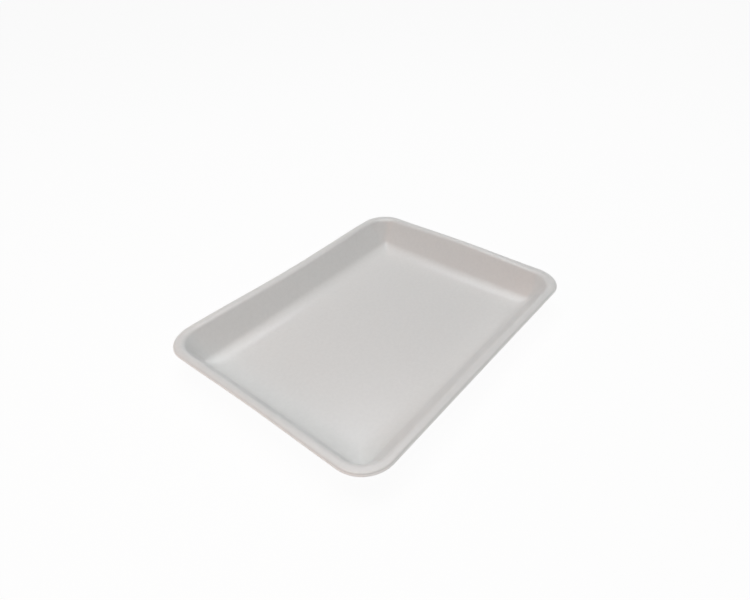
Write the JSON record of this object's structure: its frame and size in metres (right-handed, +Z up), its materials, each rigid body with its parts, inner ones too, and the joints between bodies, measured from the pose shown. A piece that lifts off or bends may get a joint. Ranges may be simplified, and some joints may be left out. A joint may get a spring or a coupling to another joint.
{
  "type": "foam tray",
  "caption": "Shallow rectangular foam food tray with rounded corners, sloping walls, a coved floor and a rolled rim.",
  "frame": {"origin": "on the table, under the middle of the tray's flat base", "axes": "+X along the long side, +Y along the short side, +Z up, out of the tray's open top"},
  "size_m": [0.235, 0.1814, 0.026],
  "materials": {
    "foam": "satin skin of expanded polystyrene foam"
  },
  "bodies": {
    "root": {"foam_tray": "foam"}
  },
  "joints": []
}
